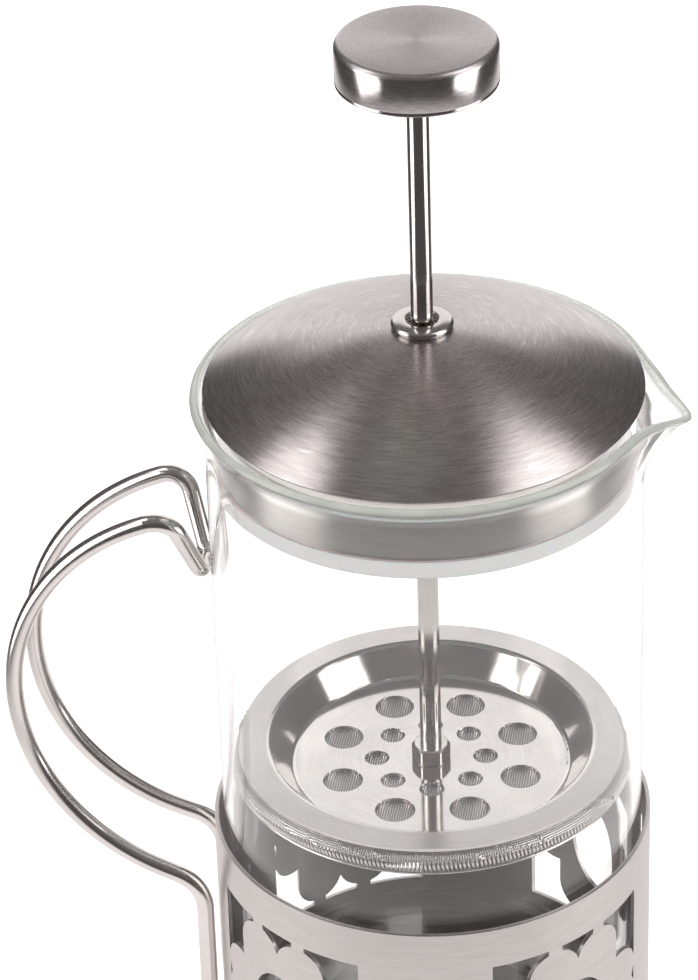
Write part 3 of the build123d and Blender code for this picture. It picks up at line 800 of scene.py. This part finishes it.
def wound_ring():
    """Coil turns set round a ring by Geometry Nodes, with a hoop under them."""
    tree = bpy.data.node_groups.new("wound_ring", "GeometryNodeTree")
    tree.interface.new_socket("Geometry", in_out="OUTPUT", socket_type="NodeSocketGeometry")
    sizes = {
        "Turns": (coil_turns, "NodeSocketInt"),
        "Ring radius": (ring_radius, "NodeSocketFloat"),
        "Ring height": ((coil_low.z + coil_high.z) / 2, "NodeSocketFloat"),
        "Turn radius": (turn_radius, "NodeSocketFloat"),
        "Wire radius": (coil_wire, "NodeSocketFloat"),
        "Slant": (coil_slant, "NodeSocketFloat"),
        "Hoop radius": (ring_radius + turn_radius * 0.62, "NodeSocketFloat"),
        "Hoop height": (coil_low.z + hoop_wire + skin, "NodeSocketFloat"),
        "Hoop wire": (hoop_wire, "NodeSocketFloat"),
    }
    for name, (_, kind) in sizes.items():
        tree.interface.new_socket(name, in_out="INPUT", socket_type=kind)
    tree.interface.new_socket("Finish", in_out="INPUT", socket_type="NodeSocketMaterial")
    given = tree.nodes.new("NodeGroupInput")
    size = {name: Value(tree, given.outputs[name]) for name in list(sizes) + ["Finish"]}
    turns = size["Turns"]
    index = turns.node("GeometryNodeInputIndex")
    angle = index / turns * (2 * math.pi)
    x = angle.maths("COSINE", angle) * size["Ring radius"]
    y = angle.maths("SINE", angle) * size["Ring radius"]
    ring = x.join(y, size["Ring height"])
    places = turns.node("GeometryNodePoints", Count=turns, Position=ring)

    def circle(resolution, radius):
        kind = "GeometryNodeCurvePrimitiveCircle"
        return turns.node(kind, {"mode": "RADIUS"}, Resolution=resolution, Radius=size[radius])

    round_turn = circle(14, "Turn radius")
    thin = circle(5, "Wire radius")
    turn = turns.node("GeometryNodeCurveToMesh", Curve=round_turn, _1=thin)
    upright = (size["Slant"] + math.pi / 2).join(0.0, 0.0)
    turn = turns.node("GeometryNodeTransform", Geometry=turn, Rotation=upright)
    facing = (angle * 0.0).join(0.0, angle)
    spread = {"Points": places, "Instance": turn, "Rotation": facing}
    coil = turns.node("GeometryNodeInstanceOnPoints", **spread)
    hoop = turns.node(
        "GeometryNodeCurveToMesh", Curve=circle(240, "Hoop radius"), _1=circle(8, "Hoop wire")
    )
    lowered = (size["Hoop height"] * 0.0).join(0.0, size["Hoop height"])
    hoop = turns.node("GeometryNodeTransform", Geometry=hoop, Translation=lowered)
    join = tree.nodes.new("GeometryNodeJoinGeometry")
    for part in (coil, hoop):
        tree.links.new(part.socket, join.inputs[0])
    real = turns.node("GeometryNodeRealizeInstances", Geometry=Value(tree, join.outputs[0]))
    shaded = turns.node("GeometryNodeSetMaterial", Geometry=real, Material=size["Finish"])
    result = tree.nodes.new("NodeGroupOutput")
    tree.links.new(shaded.socket, result.inputs[0])
    return tree, {name: value for name, (value, _) in sizes.items()}


def node_mesh(name, tree, values, material):
    """The plain mesh that a node tree makes with these inputs."""
    holder = bpy.data.objects.new(name, bpy.data.meshes.new(name))
    bpy.context.scene.collection.objects.link(holder)
    modifier = holder.modifiers.new("maker", "NODES")
    modifier.node_group = tree
    for socket in tree.interface.items_tree:
        if socket.in_out == "INPUT":
            modifier[socket.identifier] = values.get(socket.name, material)
    shown = holder.evaluated_get(bpy.context.evaluated_depsgraph_get())
    mesh = bpy.data.meshes.new_from_object(shown)
    mesh.name = name
    holder.modifiers.remove(modifier)
    bpy.data.objects.remove(holder)
    for face in mesh.polygons:
        face.use_smooth = True
    return mesh


coil_finish = polished_steel("coil_steel", 0.22, tone=1.35, haze=500.0)
coil_mesh = node_mesh("wound_spring", *wound_ring(), coil_finish)
add_piece("wound_spring", coil_mesh, "plunger", "coil_steel", coil_finish, "coil_spring")

# ---- spring plate -------------------------------------------------------------------
# A second pressing that lies under the cloth and holds it and the ring spring up
# against the drilled disc.

dress("spring_plate", brushed_steel("plate_steel", 3800, 0.3, 0.24, 0.06))

# ---- lid ----------------------------------------------------------------------------
# A dome spun from 0.7 mm stainless and brushed in circles, over a steel band and a
# white moulded liner. A flanged eyelet, locked by a push-on ring, holds them together.


def spun_mesh(name, outline, steps=240, crease=28):
    """A closed outline of (radius, height) pairs turned round the Z axis."""
    work = bmesh.new()
    rings = []
    for step in range(steps):
        turn = 2 * math.pi * step / steps
        cos_turn, sin_turn = math.cos(turn), math.sin(turn)
        rings.append([work.verts.new((r * cos_turn, r * sin_turn, z)) for r, z in outline])
    for step, ring in enumerate(rings):
        following = rings[(step + 1) % steps]
        for corner in range(len(outline)):
            beside = (corner + 1) % len(outline)
            work.faces.new((ring[corner], following[corner], following[beside], ring[beside]))
    bmesh.ops.remove_doubles(work, verts=work.verts, dist=1e-7)
    bmesh.ops.recalc_face_normals(work, faces=work.faces)
    mesh = bpy.data.meshes.new(name)
    work.to_mesh(mesh)
    work.free()
    for face in mesh.polygons:
        face.use_smooth = True
    mesh.set_sharp_from_angle(angle=math.radians(crease))
    return mesh


def bend(centre_r, centre_z, radius, first, last, steps=6):
    """Points of an arc of an outline, between two angles in degrees."""
    points = []
    for step in range(steps + 1):
        turn = math.radians(first + (last - first) * step / steps)
        points.append((centre_r + radius * math.cos(turn), centre_z + radius * math.sin(turn)))
    return points


def spun_dome_steel():
    """Circular brushing with loose longer scratches across it."""
    finish = Finish("dome_steel", Metallic=1.0, Anisotropic=0.74, Anisotropic_Rotation=0.25)
    radius, cos_turn, sin_turn, z = finish.around()
    across = radius + z * 0.7
    fine = finish.noise((across * 3900).join(cos_turn * 7.0, sin_turn * 7.0), detail=3.0)
    broad = finish.noise((across * 620).join(cos_turn * 3.0, sin_turn * 3.0), detail=3.0)
    scratch_place = (across * 1700).join(cos_turn * 5.5, sin_turn * 5.5 + 40.0)
    strokes = finish.noise(scratch_place, detail=1.0).fade(0.58, 0.76)
    cloud = finish.noise(finish.place, scale=45.0, detail=4.0)
    tone = (fine * 0.62 + broad * 0.2 + cloud * 0.18).fade(0.3, 0.7)
    tone = tone + strokes * 0.35
    finish.vary("Base Color", tone.between((0.48, 0.443, 0.44, 1), (0.68, 0.635, 0.63, 1)))
    finish.vary("Roughness", 0.215 + fine * 0.07 + cloud * 0.05 - strokes * 0.05)
    finish.bump(fine, 2.5e-6)
    return finish.material


dress("lid_dome", spun_dome_steel())

skirt_low, skirt_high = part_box("lid_skirt")
skirt_radius = skirt_high.x - skin
skirt_sheet = 0.0006
skirt_set_in = 0.0006
bead_low = rim_z - 0.0050
bead_arc = 0.0040
bead_arc_rise = 0.0026
skirt_outline = [
    (skirt_radius - skirt_sheet, skirt_low.z + skin),
    (skirt_radius - skirt_set_in - 0.0001, skirt_low.z + skin),
    (skirt_radius - skirt_set_in, skirt_low.z + 0.0002),
    (skirt_radius - skirt_set_in, bead_low - 0.0002),
    (skirt_radius - skirt_set_in - 0.00012, bead_low),
    *bend(skirt_radius - bead_arc, bead_low + bead_arc_rise, bead_arc, -38, 35, 10),
    (skirt_radius - skirt_sheet - 0.0003, skirt_high.z - skin),
    (skirt_radius - skirt_sheet - 0.0008, skirt_high.z - skin),
    (skirt_radius - skirt_sheet - 0.0008, skirt_low.z + 0.002),
]
skirt_finish = brushed_steel("skirt_steel", 4200, 0.2, 0.30, 0.06, anisotropic=0.5, tone=1.35)
skirt_mesh = spun_mesh("lid_band", skirt_outline)
add_piece("lid_band", skirt_mesh, "lid", "skirt_steel", skirt_finish, "lid_skirt")


def moulded_white():
    """White plastic that lets a little light in, with a mould's fine grain."""
    finish = Finish("liner_polypropylene", Roughness=0.35, IOR=1.49, Subsurface_Weight=0.5)
    finish.shader.inputs["Subsurface Scale"].default_value = 0.004
    cloud = finish.noise(finish.place, scale=80.0, detail=3.0)
    finish.vary("Base Color", cloud.between((0.94, 0.935, 0.94, 1), (0.985, 0.98, 0.98, 1)))
    grain = finish.noise(finish.place, scale=1800.0, detail=2.0)
    finish.bump(grain, 8e-6)
    return finish.material


dress("lid_liner", moulded_white())

bush_low, bush_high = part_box("lid_bush")
bush_top = bush_high.z - skin
bush_flange = 0.0071 - skin
bush_tube = 0.0040 - skin
bush_bore = 0.00258
bush_mouth = 0.0035
bush_outline = [
    (bush_bore, bush_low.z + skin),
    (bush_tube + 0.0009, bush_low.z + skin),
    (bush_tube + 0.0009, bush_low.z + 0.0005),
    (bush_tube, bush_low.z + 0.0006),
    (bush_tube, bush_top - 0.0016),
    (bush_flange - 0.0005, bush_top - 0.0019),
    *bend(bush_flange - 0.0008, bush_top - 0.0010, 0.0008, -70, 80, 8),
    *bend(bush_mouth + 0.0006, bush_top - 0.0006, 0.0006, 90, 180, 6),
    (bush_mouth, bush_top - 0.0022),
    (bush_bore, bush_top - 0.0028),
]
bush_mesh = spun_mesh("lid_eyelet", bush_outline, steps=128)
bush_finish = polished_steel("eyelet_steel", 0.16)
add_piece("lid_eyelet", bush_mesh, "lid", "bush_steel", bush_finish, "lid_bush")
dress("lid_lock_ring", brushed_steel("lock_ring_steel", 4200, 0.2, 0.30, 0.08))

# ---- knob ---------------------------------------------------------------------------
# A drawn stainless cap, brushed round its side and satin on top, over a black plastic
# filling with a brass insert, closed from below by a recessed disc.

knob_low, knob_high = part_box("knob_shell")
knob_radius = knob_high.x - skin
knob_sheet = 0.0008
knob_edge = 0.0014
knob_hem = 0.0004
knob_outline = [
    (0.0, knob_high.z - skin),
    (0.006, knob_high.z - skin),
    (0.012, knob_high.z - skin),
    *bend(knob_radius - knob_edge, knob_high.z - skin - knob_edge, knob_edge, 90, 0, 10),
    (knob_radius, knob_low.z + 3 * knob_hem),
    (knob_radius - 0.00012, knob_low.z + 2.4 * knob_hem),
    *bend(knob_radius - knob_hem, knob_low.z + knob_hem + skin, knob_hem, 20, -180, 10),
    (knob_radius - knob_sheet, knob_high.z - 0.0020),
    (knob_radius - 0.0015, knob_high.z - knob_sheet),
    (0.0, knob_high.z - knob_sheet),
]


def satin_knob_steel():
    """Fine satin on top, and short brush strokes round the side."""
    finish = Finish("knob_steel", Metallic=1.0, Anisotropic=0.6, Anisotropic_Rotation=0.25)
    _, cos_turn, sin_turn, z = finish.around()
    fine = finish.noise((z * 5200).join(cos_turn * 5.0, sin_turn * 5.0), detail=3.0)
    coarse = finish.noise((z * 1900).join(cos_turn * 9.0, sin_turn * 9.0), detail=2.0)
    blast = finish.noise(finish.place, scale=1500.0, detail=2.0)
    cloud = finish.noise(finish.place, scale=90.0, detail=3.0)
    side = 1.0 - z.fade(knob_high.z - knob_edge, knob_high.z - knob_edge * 0.4)
    strokes = (fine * 0.55 + coarse * 0.45) * side + (blast * 0.4 + 0.3) * (1.0 - side)
    tone = (strokes * 0.8 + cloud * 0.2).fade(0.32, 0.68)
    finish.vary("Base Color", tone.between((0.55, 0.512, 0.512, 1), (0.77, 0.722, 0.722, 1)))
    finish.vary("Roughness", 0.31 + cloud * 0.05 - side * 0.15)
    finish.bump(strokes, 4e-6)
    return finish.material


knob_mesh = spun_mesh("knob_cap", knob_outline)
add_piece("knob_cap", knob_mesh, "knob", "knob_steel", satin_knob_steel(), "knob_shell")
dress("knob_plate", brushed_steel("knob_plate_steel", 4200, 0.3, 0.35, 0.08))


def black_filling():
    """Black plastic, cast into the cap and left as it set."""
    finish = Finish("knob_filling", Roughness=0.5, IOR=1.49)
    cloud = finish.noise(finish.place, scale=300.0, detail=3.0)
    finish.vary("Base Color", cloud.between((0.015, 0.015, 0.016, 1), (0.03, 0.03, 0.032, 1)))
    finish.bump(cloud, 2e-5)
    return finish.material


def turned_brass():
    """Bar brass with a lathe tool's rings."""
    finish = Finish("insert_brass", Metallic=1.0, Roughness=0.28)
    grain = round_grain(finish, 5000, 0.4)
    finish.vary("Base Color", grain.between((0.62, 0.44, 0.17, 1), (0.78, 0.58, 0.27, 1)))
    finish.bump(grain, 3e-6)
    return finish.material


dress("knob_core", black_filling())
dress("knob_insert", turned_brass())
